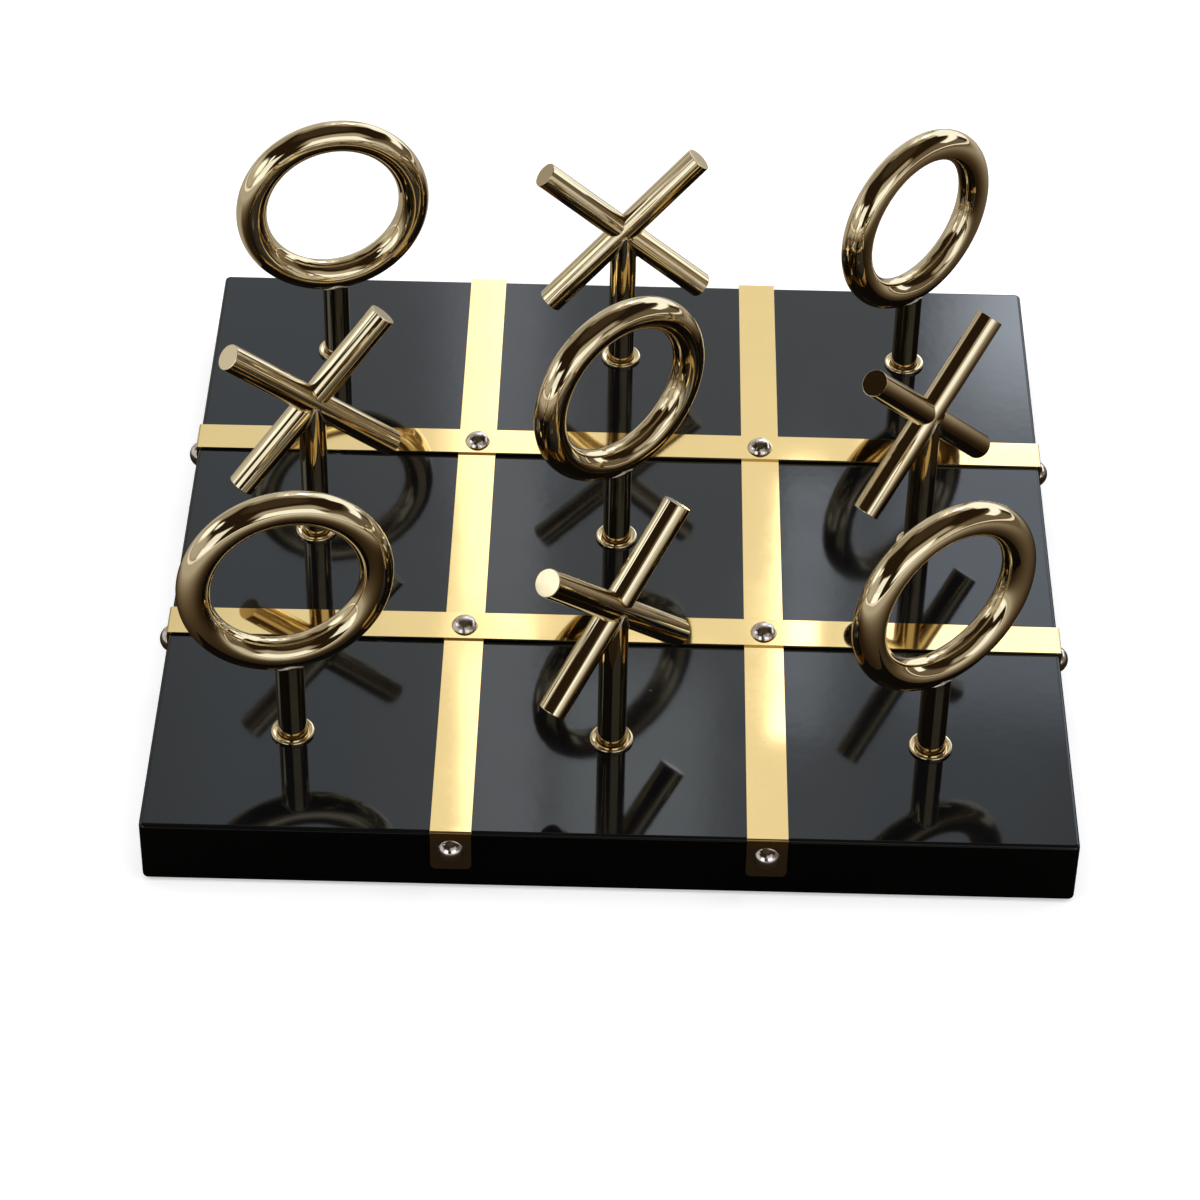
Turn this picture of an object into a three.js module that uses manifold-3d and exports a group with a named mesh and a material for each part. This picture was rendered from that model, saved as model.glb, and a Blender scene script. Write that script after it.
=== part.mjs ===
// Tic-tac-toe set: a lacquered board with four folded brass straps and nine
// sockets, and nine standing figures, five rings and four crosses, whose round
// posts drop into the sockets.
// Millimetres, +Z up. The origin is under the middle of the felt, with +X to
// the right and +Y to the back. Figures are named by row and column.
import * as THREE from 'three';
import { mergeVertices } from 'three/addons/utils/BufferGeometryUtils.js';
import Module from 'manifold-3d';

const wasm = await Module();
wasm.setup();

// Fits
const seatGap = 0.05;
const runningGap = 0.3;
const cutOverrun = 2;

// Board and felt
const boardSide = 305;
const boardThickness = 24;
const boardEdgeRadius = 1.5;
const boardCornerFullness = 0.5;
const feltThickness = 1;
const feltInset = 6;
const feltCornerRadius = 4;

// Straps
const strapInset = 101.2;
const strapWidth = 13.4;
const strapThickness = 0.65;
const strapBendRadius = 1;
const tabLength = 15.6;
const tabCornerRadius = 2;

// Dome-headed studs
const studHeadRadius = 4.5;
const studHeadHeight = 3.3;
const studShankRadius = 1.2;
const studTipLength = 2.5;
const studDepth = 11;

// Sockets
const socketInset = 46.5;
const socketFloor = 6;
const sleeveWall = 1.2;
const flangeLip = 0.65;
const flangeThickness = 1.1;
const flangeRounding = 0.6;

// Posts
const postRadius = 4.8;
const postChamfer = 0.6;
const stubReach = 2.5;

// Rings
const ringRadius = 30;
const ringBarRadius = 5.55;
const ringClearHeight = 29.85;

// Crosses
const rodLength = 79.4;
const rodRadius = 4.75;
const rodChamfer = 0.35;
const rodEndHeight = 26.3;
const rodAngle = 45;

// Facets
const ringSteps = 36;
const ringBarSides = 10;
const rodSides = 16;
const boreSides = 16;
const studSides = 12;
const domeSteps = 4;
const arcSteps = 3;

// Each figure's column from the left and row from the front, as steps from the
// middle, and its turn about its post in degrees. A cross also has a tilt in its
// own plane and the side to which its through rod rises.
const figures = [
  { place: 'back_left', column: -1, row: 1, kind: 'ring', turn: 15.3 },
  { place: 'back_centre', column: 0, row: 1, kind: 'cross', turn: 9, tilt: 2.4, rise: 1 },
  { place: 'back_right', column: 1, row: 1, kind: 'ring', turn: 42.8 },
  { place: 'middle_left', column: -1, row: 0, kind: 'cross', turn: 25.3, tilt: 1.9, rise: -1 },
  { place: 'middle_centre', column: 0, row: 0, kind: 'ring', turn: 38.7 },
  { place: 'middle_right', column: 1, row: 0, kind: 'cross', turn: 43.1, tilt: 0.5, rise: 1 },
  { place: 'front_left', column: -1, row: -1, kind: 'ring', turn: 15 },
  { place: 'front_centre', column: 0, row: -1, kind: 'cross', turn: 43.4, tilt: 2.3, rise: -1 },
  { place: 'front_right', column: 1, row: -1, kind: 'ring', turn: 34.2 },
];

// Worked-out sizes and heights
const boardHalf = boardSide / 2;
const boardUnderside = feltThickness + seatGap;
const boardTop = boardUnderside + boardThickness;
const strapOffset = boardHalf - strapInset;
const socketOffset = boardHalf - socketInset;
const boreRadius = postRadius + runningGap;
const sleeveRadius = boreRadius + sleeveWall;
const socketHoleRadius = sleeveRadius + runningGap;
const flangeRadius = socketHoleRadius + flangeLip;
const socketDepth = boardThickness - socketFloor;
const studHoleRadius = studShankRadius + runningGap;
const ringCentreHeight = ringClearHeight + ringBarRadius + ringRadius;
const rodSlope = THREE.MathUtils.degToRad(rodAngle);
const rodCentreHeight = rodEndHeight + Math.cos(rodSlope) * rodLength / 2 + Math.sin(rodSlope) * rodRadius;
const crotchDrop = (rodRadius + runningGap + Math.cos(rodSlope) * postRadius) / Math.sin(rodSlope);

// Finishes
const lacquer = new THREE.MeshStandardMaterial({ color: 0x0b0b0d, roughness: 0.08, metalness: 0 });
const felt = new THREE.MeshStandardMaterial({ color: 0x1c1c1e, roughness: 0.95, metalness: 0 });
const strapBrass = new THREE.MeshStandardMaterial({ color: 0xe6cf95, roughness: 0.12, metalness: 1 });
const barBrass = new THREE.MeshStandardMaterial({ color: 0xc9a878, roughness: 0.1, metalness: 1 });
const studSteel = new THREE.MeshStandardMaterial({ color: 0xcfcfd2, roughness: 0.1, metalness: 1 });

// A three.js geometry as a solid for cutting and joining
function solidOf(geometry) {
  const bare = geometry.clone();
  bare.deleteAttribute('normal');
  bare.deleteAttribute('uv');
  const merged = mergeVertices(bare);
  const corners = merged.index.array;
  const kept = [];
  for (let i = 0; i < corners.length; i += 3) {
    const [a, b, c] = corners.slice(i, i + 3);
    if (a !== b && b !== c && c !== a) kept.push(a, b, c);
  }
  return new wasm.Manifold(new wasm.Mesh({
    numProp: 3,
    vertProperties: merged.attributes.position.array,
    triVerts: Uint32Array.from(kept),
  }));
}

function geometryOf(solid) {
  const mesh = solid.getMesh();
  const geometry = new THREE.BufferGeometry();
  geometry.setAttribute('position', new THREE.BufferAttribute(mesh.vertProperties, mesh.numProp));
  geometry.setIndex(new THREE.BufferAttribute(mesh.triVerts, 1));
  return geometry;
}

// The first geometry less all the others
function cut(geometry, cutters) {
  return geometryOf(cutters.reduce((solid, cutter) => solid.subtract(solidOf(cutter)), solidOf(geometry)));
}

// A profile of radius and height turned about Z
function turned(points, sides) {
  const profile = points.map(([radius, height]) => new THREE.Vector2(radius, height));
  return new THREE.LatheGeometry(profile, sides).rotateX(Math.PI / 2);
}

// A round bar along Z with a chamfer at each end
function bar(radius, low, high, lowChamfer, highChamfer, sides) {
  return turned([
    [0, low],
    [radius - lowChamfer, low],
    [radius, low + lowChamfer],
    [radius, high - highChamfer],
    [radius - highChamfer, high],
    [0, high],
  ].filter(([r, h], i, all) => i === 0 || r !== all[i - 1][0] || h !== all[i - 1][1]), sides);
}

function roundedSquare(side, radius) {
  const reach = side / 2 - radius;
  const outline = new THREE.Shape();
  const quarter = Math.PI / 2;
  [[1, 1], [-1, 1], [-1, -1], [1, -1]].forEach(([x, y], corner) => {
    outline.absarc(x * reach, y * reach, radius, corner * quarter, (corner + 1) * quarter, false);
  });
  return outline;
}

function feltGeometry() {
  const outline = roundedSquare(boardSide - 2 * feltInset, feltCornerRadius);
  return new THREE.ExtrudeGeometry(outline, {
    depth: feltThickness, bevelEnabled: false, curveSegments: arcSteps,
  });
}

// The room for a stud that stands along +Z with its head's underside at zero
function studHole(depth) {
  return bar(studHoleRadius, -depth, cutOverrun, 0, 0, studSides);
}

// Where the studs go: four where straps cross, and one on each folded tab. A
// seat has its place, under the stud's head, and the way that the head faces.
function studSeats() {
  const seats = [];
  const tabHeight = boardTop - tabLength / 2;
  const tabFace = boardHalf + seatGap + strapThickness + seatGap;
  const crossingHeight = boardTop + 2 * (seatGap + strapThickness) + seatGap;
  for (const [row, y] of [['front', -1], ['back', 1]]) {
    for (const [column, x] of [['left', -1], ['right', 1]]) {
      seats.push({
        name: `stud_crossing_${row}_${column}`,
        position: [x * strapOffset, y * strapOffset, crossingHeight],
        facing: 'up',
      });
      seats.push({
        name: `stud_tab_${column}_strap_${row}`,
        position: [x * strapOffset, y * tabFace, tabHeight],
        facing: row,
      });
      seats.push({
        name: `stud_tab_${row}_strap_${column}`,
        position: [x * tabFace, y * strapOffset, tabHeight],
        facing: column,
      });
    }
  }
  return seats;
}

// The turns about X and Y that point a stud's head each way
const facings = {
  up: [0, 0],
  front: [Math.PI / 2, 0],
  back: [-Math.PI / 2, 0],
  left: [0, -Math.PI / 2],
  right: [0, Math.PI / 2],
};

function seated(geometry, seat) {
  const [aboutX, aboutY] = facings[seat.facing];
  return geometry.clone().rotateX(aboutX).rotateY(aboutY).translate(...seat.position);
}

// Depth of a stud's shank below its head: through the straps and into the board
function shankLength(seat) {
  const layers = seat.facing === 'up' ? 2 : 1;
  return layers * (strapThickness + seatGap) + seatGap + studDepth;
}

function boardGeometry(seats) {
  const outline = roundedSquare(boardSide, boardEdgeRadius + boardCornerFullness);
  const slab = new THREE.ExtrudeGeometry(outline, {
    depth: boardThickness - 2 * boardEdgeRadius,
    bevelEnabled: true,
    bevelThickness: boardEdgeRadius,
    bevelSize: boardEdgeRadius,
    bevelOffset: -boardEdgeRadius,
    bevelSegments: arcSteps,
    curveSegments: arcSteps,
  }).translate(0, 0, boardUnderside + boardEdgeRadius);
  const socketHoles = figures.map(({ column, row }) => {
    const hole = bar(socketHoleRadius, boardTop - socketDepth, boardTop + cutOverrun, 0, 0, boreSides);
    return hole.translate(column * socketOffset, row * socketOffset, 0);
  });
  const studHoles = seats.map((seat) => seated(studHole(shankLength(seat) + runningGap), seat));
  return cut(slab, [...socketHoles, ...studHoles]);
}

// A strap along X whose ends fold down the board's sides. Its flat lies the
// given height above the board's top.
function strapGeometry(rise) {
  const inner = boardHalf + seatGap;
  const outer = inner + strapThickness;
  const under = boardTop + rise;
  const foot = boardTop - tabLength;
  const bendX = inner - strapBendRadius;
  const bendZ = under - strapBendRadius;
  const outerBend = strapBendRadius + strapThickness;
  const side = new THREE.Shape();
  side.moveTo(-outer, foot);
  side.absarc(-bendX, bendZ, outerBend, Math.PI, Math.PI / 2, true);
  side.absarc(bendX, bendZ, outerBend, Math.PI / 2, 0, true);
  side.lineTo(outer, foot);
  side.lineTo(inner, foot);
  side.absarc(bendX, bendZ, strapBendRadius, 0, Math.PI / 2, false);
  side.absarc(-bendX, bendZ, strapBendRadius, Math.PI / 2, Math.PI, false);
  side.lineTo(-inner, foot);
  side.closePath();
  const folded = new THREE.ExtrudeGeometry(side, {
    depth: strapWidth, bevelEnabled: false, curveSegments: arcSteps,
  }).translate(0, 0, -strapWidth / 2).rotateX(Math.PI / 2);

  const half = strapWidth / 2;
  const top = under + strapThickness + cutOverrun;
  const end = new THREE.Shape();
  end.moveTo(half, foot + tabCornerRadius);
  end.lineTo(half, top);
  end.lineTo(-half, top);
  end.absarc(-half + tabCornerRadius, foot + tabCornerRadius, tabCornerRadius, Math.PI, 1.5 * Math.PI, false);
  end.absarc(half - tabCornerRadius, foot + tabCornerRadius, tabCornerRadius, 1.5 * Math.PI, 2 * Math.PI, false);
  end.closePath();
  const reach = outer + cutOverrun;
  const rounded = new THREE.ExtrudeGeometry(end, {
    depth: 2 * reach, bevelEnabled: false, curveSegments: arcSteps,
  }).translate(0, 0, -reach).rotateX(Math.PI / 2).rotateZ(Math.PI / 2);
  return geometryOf(solidOf(folded).intersect(solidOf(rounded)));
}

function strapMesh(name, alongY, offset, rise, seats) {
  const blank = strapGeometry(rise);
  if (alongY) blank.rotateZ(Math.PI / 2).translate(offset, 0, 0);
  else blank.translate(0, offset, 0);
  const holes = seats.map((seat) => seated(studHole(shankLength(seat)), seat));
  const mesh = new THREE.Mesh(cut(blank, holes), strapBrass);
  mesh.name = name;
  return mesh;
}

// A stud along Z with its head's underside at zero
function studGeometry(length) {
  const domeRadius = (studHeadRadius ** 2 + studHeadHeight ** 2) / (2 * studHeadHeight);
  const domeAngle = Math.asin(studHeadRadius / domeRadius);
  const dome = Array.from({ length: domeSteps }, (_, step) => {
    const angle = domeAngle * (1 - step / domeSteps);
    return [domeRadius * Math.sin(angle), studHeadHeight - domeRadius * (1 - Math.cos(angle))];
  });
  return turned([
    [0, -length],
    [studShankRadius, -length + studTipLength],
    [studShankRadius, 0],
    ...dome,
    [0, studHeadHeight],
  ], studSides);
}

// A flanged sleeve with the flange's underside at zero
function socketGeometry() {
  const foot = -socketDepth + runningGap;
  const rounding = Array.from({ length: arcSteps + 1 }, (_, step) => {
    const angle = (Math.PI / 2) * (step / arcSteps);
    return [
      flangeRadius - flangeRounding * (1 - Math.cos(angle)),
      flangeThickness - flangeRounding * (1 - Math.sin(angle)),
    ];
  });
  return turned([
    [boreRadius, foot],
    [sleeveRadius, foot],
    [sleeveRadius, 0],
    [flangeRadius, 0],
    ...rounding,
    [boreRadius, flangeThickness],
    [boreRadius, foot],
  ], boreSides);
}

// The pieces of a cross about its middle: one rod runs through and carries the
// top of the post, and two half rods are coped to it. A lean is an angle from
// upright towards +X.
function crossPieces(lean, otherLean, stubFoot) {
  const half = rodLength / 2;
  const roomRadius = rodRadius + runningGap;
  const through = bar(rodRadius, -half, half, rodChamfer, rodChamfer, rodSides).rotateY(lean);
  const throughRoom = bar(roomRadius, -rodLength, rodLength, 0, 0, rodSides).rotateY(lean);
  const lowerRoom = bar(roomRadius, -rodLength, 0, 0, 0, rodSides).rotateY(otherLean);
  const upper = bar(rodRadius, 0, half, 0, rodChamfer, rodSides).rotateY(otherLean);
  const lower = bar(rodRadius, -half, 0, rodChamfer, 0, rodSides).rotateY(otherLean);
  const stub = bar(postRadius, stubFoot, 0, 0, 0, rodSides);
  const coped = solidOf(stub).subtract(solidOf(lowerRoom));
  return {
    through_rod: geometryOf(coped.add(solidOf(through))),
    upper_rod: cut(upper, [throughRoom]),
    lower_rod: cut(lower, [throughRoom]),
  };
}

function figureGroup({ place, column, row, kind, turn, tilt, rise }) {
  const group = new THREE.Group();
  const add = (name, geometry) => {
    const mesh = new THREE.Mesh(geometry, barBrass);
    mesh.name = name;
    group.add(mesh);
  };
  const jointHeight = kind === 'ring' ? ringClearHeight : rodCentreHeight - crotchDrop;
  const stubFoot = jointHeight - stubReach;
  const postTop = stubFoot - runningGap;
  const postFoot = -socketDepth + runningGap;
  add(`post_${place}`, bar(postRadius, postFoot, postTop, postChamfer, 0, rodSides));

  if (kind === 'ring') {
    const stub = bar(postRadius, stubFoot, ringClearHeight + ringBarRadius, 0, 0, rodSides);
    const ring = new THREE.TorusGeometry(ringRadius, ringBarRadius, ringBarSides, ringSteps)
      .rotateX(Math.PI / 2).translate(0, 0, ringCentreHeight);
    add(`ring_${place}`, geometryOf(solidOf(ring).add(solidOf(stub))));
  } else {
    const lean = THREE.MathUtils.degToRad(rise * rodAngle - tilt);
    const otherLean = THREE.MathUtils.degToRad(-rise * rodAngle - tilt);
    const pieces = crossPieces(lean, otherLean, stubFoot - rodCentreHeight);
    for (const [part, geometry] of Object.entries(pieces)) {
      add(`cross_${place}_${part}`, geometry.translate(0, 0, rodCentreHeight));
    }
  }
  group.rotation.z = THREE.MathUtils.degToRad(turn);
  group.position.set(column * socketOffset, row * socketOffset, boardTop);
  return group;
}

const set = new THREE.Group();

const feltMesh = new THREE.Mesh(feltGeometry(), felt);
feltMesh.name = 'felt_base';
set.add(feltMesh);

const seats = studSeats();
const boardMesh = new THREE.Mesh(boardGeometry(seats), lacquer);
boardMesh.name = 'board';
set.add(boardMesh);

const lowerRise = seatGap;
const upperRise = strapThickness + 2 * seatGap;
set.add(strapMesh('strap_left', true, -strapOffset, lowerRise, seats));
set.add(strapMesh('strap_right', true, strapOffset, lowerRise, seats));
set.add(strapMesh('strap_back', false, strapOffset, upperRise, seats));
set.add(strapMesh('strap_front', false, -strapOffset, upperRise, seats));

for (const seat of seats) {
  const mesh = new THREE.Mesh(seated(studGeometry(shankLength(seat)), seat), studSteel);
  mesh.name = seat.name;
  set.add(mesh);
}

for (const figure of figures) {
  const socket = new THREE.Mesh(socketGeometry(), barBrass);
  socket.name = `socket_${figure.place}`;
  socket.position.set(figure.column * socketOffset, figure.row * socketOffset, boardTop + seatGap);
  set.add(socket);
  set.add(figureGroup(figure));
}

export default set;
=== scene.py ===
import math

import bmesh
import bpy
from bpy.props import FloatProperty, FloatVectorProperty, IntProperty, PointerProperty
from mathutils import Matrix, Vector


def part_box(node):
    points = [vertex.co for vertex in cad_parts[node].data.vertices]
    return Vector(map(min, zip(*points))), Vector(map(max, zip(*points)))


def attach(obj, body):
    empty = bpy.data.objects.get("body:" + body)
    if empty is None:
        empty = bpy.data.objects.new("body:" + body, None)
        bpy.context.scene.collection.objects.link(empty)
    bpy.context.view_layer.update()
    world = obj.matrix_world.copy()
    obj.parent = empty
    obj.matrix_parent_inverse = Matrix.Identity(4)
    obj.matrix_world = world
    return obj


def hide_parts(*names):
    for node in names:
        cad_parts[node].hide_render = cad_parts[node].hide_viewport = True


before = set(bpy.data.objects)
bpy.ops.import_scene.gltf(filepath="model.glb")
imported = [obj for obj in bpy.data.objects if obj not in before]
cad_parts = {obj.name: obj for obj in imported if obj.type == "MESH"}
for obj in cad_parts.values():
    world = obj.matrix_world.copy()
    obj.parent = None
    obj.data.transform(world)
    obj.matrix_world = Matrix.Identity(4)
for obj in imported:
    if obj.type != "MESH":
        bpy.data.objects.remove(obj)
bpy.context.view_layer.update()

bl_info = {
    "name": "Standing tic-tac-toe set",
    "version": (1, 0, 0),
    "blender": (4, 5, 0),
    "location": "3D View > Sidebar > Tic-tac-toe",
    "description": "Lacquered board with brass straps, sockets, and standing rings and crosses",
    "category": "Add Mesh",
}

MM = 0.001
BOARD_LOW, BOARD_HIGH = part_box("board")
BOARD_TOP = BOARD_HIGH.z
HALF_BOARD = BOARD_HIGH.x
NEAR = MM / 100

# How finely round shapes, rounded edges and folds are cut, and the angle in degrees at which
# a stud's dome ends below its crown.
HOLE_SIDES = 64
STUD_SIDES = 64
DOME_STEPS = 14
NEAR_CROWN = 89
SOCKET_SIDES = 96
BEAD_SIDES = 12
EDGE_STEPS = 8
FOLD_STEPS = 10
FILLET_STEPS = 6

# Every figure by its place: its kind, its turn about its post in degrees, and for a
# cross its tilt and the side to which its through rod rises.
FIGURES = {
    "back_left": ("ring", 15.3, 0, 0),
    "back_centre": ("cross", 9, 2.4, 1),
    "back_right": ("ring", 42.8, 0, 0),
    "middle_left": ("cross", 25.3, 1.9, -1),
    "middle_centre": ("ring", 38.7, 0, 0),
    "middle_right": ("cross", 43.1, 0.5, 1),
    "front_left": ("ring", 15, 0, 0),
    "front_centre": ("cross", 43.4, 2.3, -1),
    "front_right": ("ring", 34.2, 0, 0),
}


def middle(node):
    """The middle of a CAD node's box."""
    low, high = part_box(node)
    return (low + high) / 2


def socket_point(place):
    """The point on the board's top under a figure's post."""
    point = middle(f"socket_{place}")
    return Vector((point.x, point.y, BOARD_TOP))


# Sizes and colours


def length(name, description, millimetres):
    return FloatProperty(name=name, description=description, default=millimetres * MM, unit="LENGTH")


def colour(name, description, rgb):
    return FloatVectorProperty(name=name, description=description, default=rgb, subtype="COLOR",
                               size=3, min=0, max=1)


def share(name, description, value):
    return FloatProperty(name=name, description=description, default=value, min=0, max=1,
                         subtype="FACTOR")


class BoardSizes(bpy.types.PropertyGroup):
    corner_radius: length("Corner radius", "Rounding of the upright corners", 2)
    edge_radius: length("Edge radius", "Rounding of the top and bottom edges", 1.4)
    socket_hole_radius: length("Socket hole", "Radius of the hole for each socket's sleeve", 6.5)
    socket_hole_depth: length("Socket depth", "Depth of each socket's hole", 18)


class StrapSizes(bpy.types.PropertyGroup):
    bend_radius: length("Bend radius", "Inner radius where a strap folds over the edge", 1)
    tab_corner_radius: length("Tab corner", "Rounding of a tab's lower corners", 2)
    edge_rounding: length("Edge rounding", "Softening of the cut edges", 0.2)
    steps: IntProperty(name="Steps", description="Steps along a strap", default=120, min=8)
    settle: length("Settle", "How far an upper strap comes down from a crossing to the edge", 0.5)
    waviness: length("Waviness", "Height of the slight waves along the strip", 0.06)


class StudSizes(bpy.types.PropertyGroup):
    head_radius: length("Head radius", "Radius of a stud's domed head", 4.5)
    head_height: length("Head height", "Height of a stud's domed head", 3.3)
    rim_height: length("Rim height", "Upright rim under the dome", 0.15)
    shank_radius: length("Shank radius", "Radius of the hidden shank", 1.2)
    shank_length: length("Shank length", "Length of the hidden shank", 11.5)


class SocketSizes(bpy.types.PropertyGroup):
    bore_radius: length("Bore radius", "Radius of the hole that takes the post", 5.05)
    sleeve_radius: length("Sleeve radius", "Outer radius of the sleeve in the board", 6.3)
    flange_radius: length("Flange radius", "Outer radius of the flange", 7.25)
    flange_height: length("Flange height", "Thickness of the flange", 1.1)
    rounding: length("Flange rounding", "Rounding of the flange's outer edge", 0.5)
    dish: length("Dish", "How far the flange sinks towards the bore", 0.35)
    rim_width: length("Rim width", "Width of the flange's raised rim", 0.75)


class FigureSizes(bpy.types.PropertyGroup):
    post_radius: length("Post radius", "Radius of every post", 4.8)
    post_chamfer: length("Post chamfer", "Chamfer at a post's foot", 0.6)
    braze_width: length("Braze width", "Width of the braze fillet round a joint", 0.3)
    ring_radius: length("Ring radius", "From a ring's middle to the middle of its bar", 30)
    ring_bar_radius: length("Ring bar radius", "Radius of a ring's round bar", 5.55)
    rod_length: length("Rod length", "Length of a cross's through rod", 79.4)
    rod_radius: length("Rod radius", "Radius of a cross's rods", 4.75)
    rod_chamfer: length("Rod chamfer", "Chamfer at the rod ends", 0.3)
    notch_width: FloatProperty(name="Notch width", default=1.3, min=1.01, max=3,
                               description="Radius of a half rod's notch against the through rod's")
    groove: length("Joint groove", "Groove where a half rod meets the through rod", 0.22)
    bead_radius: length("Bead radius", "Thickness of the bead of braze round a post's top", 0.34)
    bar_sides: IntProperty(name="Bar sides", description="Sides of a round bar", default=72, min=12)
    ring_steps: IntProperty(name="Ring steps", description="Steps round a ring", default=144, min=24)


class FinishColours(bpy.types.PropertyGroup):
    lacquer: colour("Lacquer", "Colour under the board's gloss", (0.0035, 0.0035, 0.004))
    board_side: colour("Board sides", "Colour of the board's sides", (0.0012, 0.0012, 0.0012))
    felt: colour("Felt", "Colour of the felt underneath", (0.018, 0.018, 0.02))
    strap: colour("Strap", "Colour of the pale brass straps", (0.99, 0.74, 0.33))
    # The tabs' greyer colour is a painted reflection tone, standing in for the dim grey table that the tabs
    # mirror.
    tab: colour("Tab", "Colour of the straps' handled tabs", (0.74, 0.7, 0.64))
    bar: colour("Bar", "Colour of the posts, rings and rods", (0.82, 0.67, 0.42))
    stud: colour("Stud", "Colour of the plated studs", (0.92, 0.84, 0.78))
    braze: colour("Braze", "Colour of the pale braze at the joints", (0.96, 0.92, 0.85))
    gloss_roughness: share("Lacquer roughness", "Roughness of the board's top", 0.055)
    bar_roughness: share("Bar roughness", "Roughness of the polished bars", 0.045)
    strap_roughness: share("Strap roughness", "Roughness of the straps", 0.04)


class StudioSizes(bpy.types.PropertyGroup):
    floor_size: length("Floor", "Side of the pale floor", 6000)
    lamp_side: length("Lamp side", "Side of each soft lamp", 900)
    lamp_power: FloatProperty(name="Lamp power", description="Power of each soft lamp",
                              default=9, unit="POWER")
    focal_length: FloatProperty(name="Focal length", description="Camera lens", default=114.6,
                                unit="CAMERA")


GROUPS = {
    "board": BoardSizes,
    "strap": StrapSizes,
    "stud": StudSizes,
    "socket": SocketSizes,
    "figure": FigureSizes,
    "finish": FinishColours,
    "studio": StudioSizes,
}


class SetSettings(bpy.types.PropertyGroup):
    """All the sizes and colours of the set."""
    __annotations__ = {name: PointerProperty(type=group) for name, group in GROUPS.items()}


def settings():
    return bpy.context.scene.tic_tac_toe


# Modelling by hand


def take(obj):
    """Selects one object alone and makes it active."""
    bpy.ops.object.select_all(action="DESELECT")
    obj.select_set(True)
    bpy.context.view_layer.objects.active = obj
    return obj


class Editing:
    """Edit mode on one object, with nothing selected at first."""

    def __init__(self, obj):
        self.obj = obj

    def __enter__(self):
        take(self.obj)
        bpy.ops.object.mode_set(mode="EDIT")
        bpy.ops.mesh.select_mode(type="VERT")
        bpy.ops.mesh.select_all(action="DESELECT")
        return self

    def __exit__(self, *_):
        bpy.ops.object.mode_set(mode="OBJECT")

    def mesh(self):
        return bmesh.from_edit_mesh(self.obj.data)

    def pick(self, kind, test):
        """Selects only the vertices, edges or faces that pass the test."""
        bpy.ops.mesh.select_all(action="DESELECT")
        bpy.ops.mesh.select_mode(type=kind[:-1].upper())
        mesh = self.mesh()
        for element in getattr(mesh, kind):
            element.select_set(bool(test(element)))
        self.update()

    def update(self):
        bmesh.update_edit_mesh(self.obj.data)

    def face_outwards(self):
        bpy.ops.mesh.select_all(action="SELECT")
        bpy.ops.mesh.normals_make_consistent(inside=False)


def add_modifier(obj, kind, **values):
    take(obj)
    modifier = obj.modifiers.new(kind.lower(), kind)
    for name, value in values.items():
        setattr(modifier, name, value)
    bpy.ops.object.modifier_apply(modifier=modifier.name)


def smooth(obj, degrees=30):
    take(obj)
    bpy.ops.object.shade_smooth_by_angle(angle=math.radians(degrees))


def flat_faces_true(obj, degrees=30):
    """Smooth shading that keeps the large flat faces truly flat."""
    smooth(obj, degrees)
    add_modifier(obj, "WEIGHTED_NORMAL", keep_sharp=True)


def place_mesh(obj, matrix):
    """Moves an object by a matrix and leaves the move in its mesh."""
    obj.matrix_world = matrix @ obj.matrix_world
    take(obj)
    bpy.ops.object.transform_apply(location=True, rotation=True, scale=True)
    return obj


def copy_of(obj, name):
    twin = obj.copy()
    twin.data = obj.data.copy()
    bpy.context.collection.objects.link(twin)
    return rename(twin, name)


def rename(obj, name):
    obj.name = name
    obj.data.name = name
    return obj


def new_object(primitive, name, scale=(1, 1, 1), **values):
    """Adds a primitive with nothing else selected, and leaves its place and size in its mesh."""
    bpy.ops.object.select_all(action="DESELECT")
    primitive(**values)
    obj = rename(bpy.context.object, name)
    obj.scale = scale
    bpy.ops.object.transform_apply(location=True, rotation=True, scale=True)
    return obj


def delete(obj):
    mesh = obj.data
    bpy.data.objects.remove(obj)
    bpy.data.meshes.remove(mesh)


def turned(name, profile, sides):
    """A profile of (radius, height) points turned about Z, drawn as a circle whose edge loop is
    extruded from point to point. A first or last radius of zero closes that end, and a profile
    that ends where it began closes on itself."""
    closes = profile[0] == profile[-1]
    start = 1 if profile[0][0] == 0 else 0
    radius, height = profile[start]
    obj = new_object(bpy.ops.mesh.primitive_circle_add, name, vertices=sides, radius=radius,
                     location=(0, 0, height), fill_type="NGON" if start else "NOTHING")
    points = [point for point in profile[start + 1:] if point[0] > 0]
    with Editing(obj) as edit:
        edit.pick("edges", lambda edge: True)
        for next_radius, next_height in points:
            bpy.ops.mesh.extrude_edges_move()
            bpy.ops.transform.resize(value=(next_radius / radius, next_radius / radius, 1),
                                     center_override=(0, 0, height))
            bpy.ops.transform.translate(value=(0, 0, next_height - height))
            radius, height = next_radius, next_height
        if profile[-1][0] == 0:
            bpy.ops.mesh.edge_face_add()
        if closes:
            bpy.ops.mesh.select_all(action="SELECT")
            bpy.ops.mesh.remove_doubles(threshold=NEAR / 100)
        edit.face_outwards()
    return obj


def arc(centre, radius, first, last, steps):
    """Points of a circle in the profile's plane, by angles in degrees from outwards."""
    points = []
    for step in range(steps + 1):
        angle = math.radians(first + (last - first) * step / steps)
        points.append((centre[0] + radius * math.cos(angle), centre[1] + radius * math.sin(angle)))
    return points


def waves(angle, *parts):
    """A sum of waves: each has its strength, how often it comes round and where it begins."""
    return sum(strength * math.sin(times * angle + start) for strength, times, start in parts)


def finish_piece(obj, material, body, node):
    """Gives a piece its material, if it hasn't one, hides the CAD part that it replaces, and hangs it on the
    body that it moves with.
    """
    if not obj.data.materials:
        obj.data.materials.append(material)
    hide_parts(node)
    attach(obj, body)


# Finishes

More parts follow.
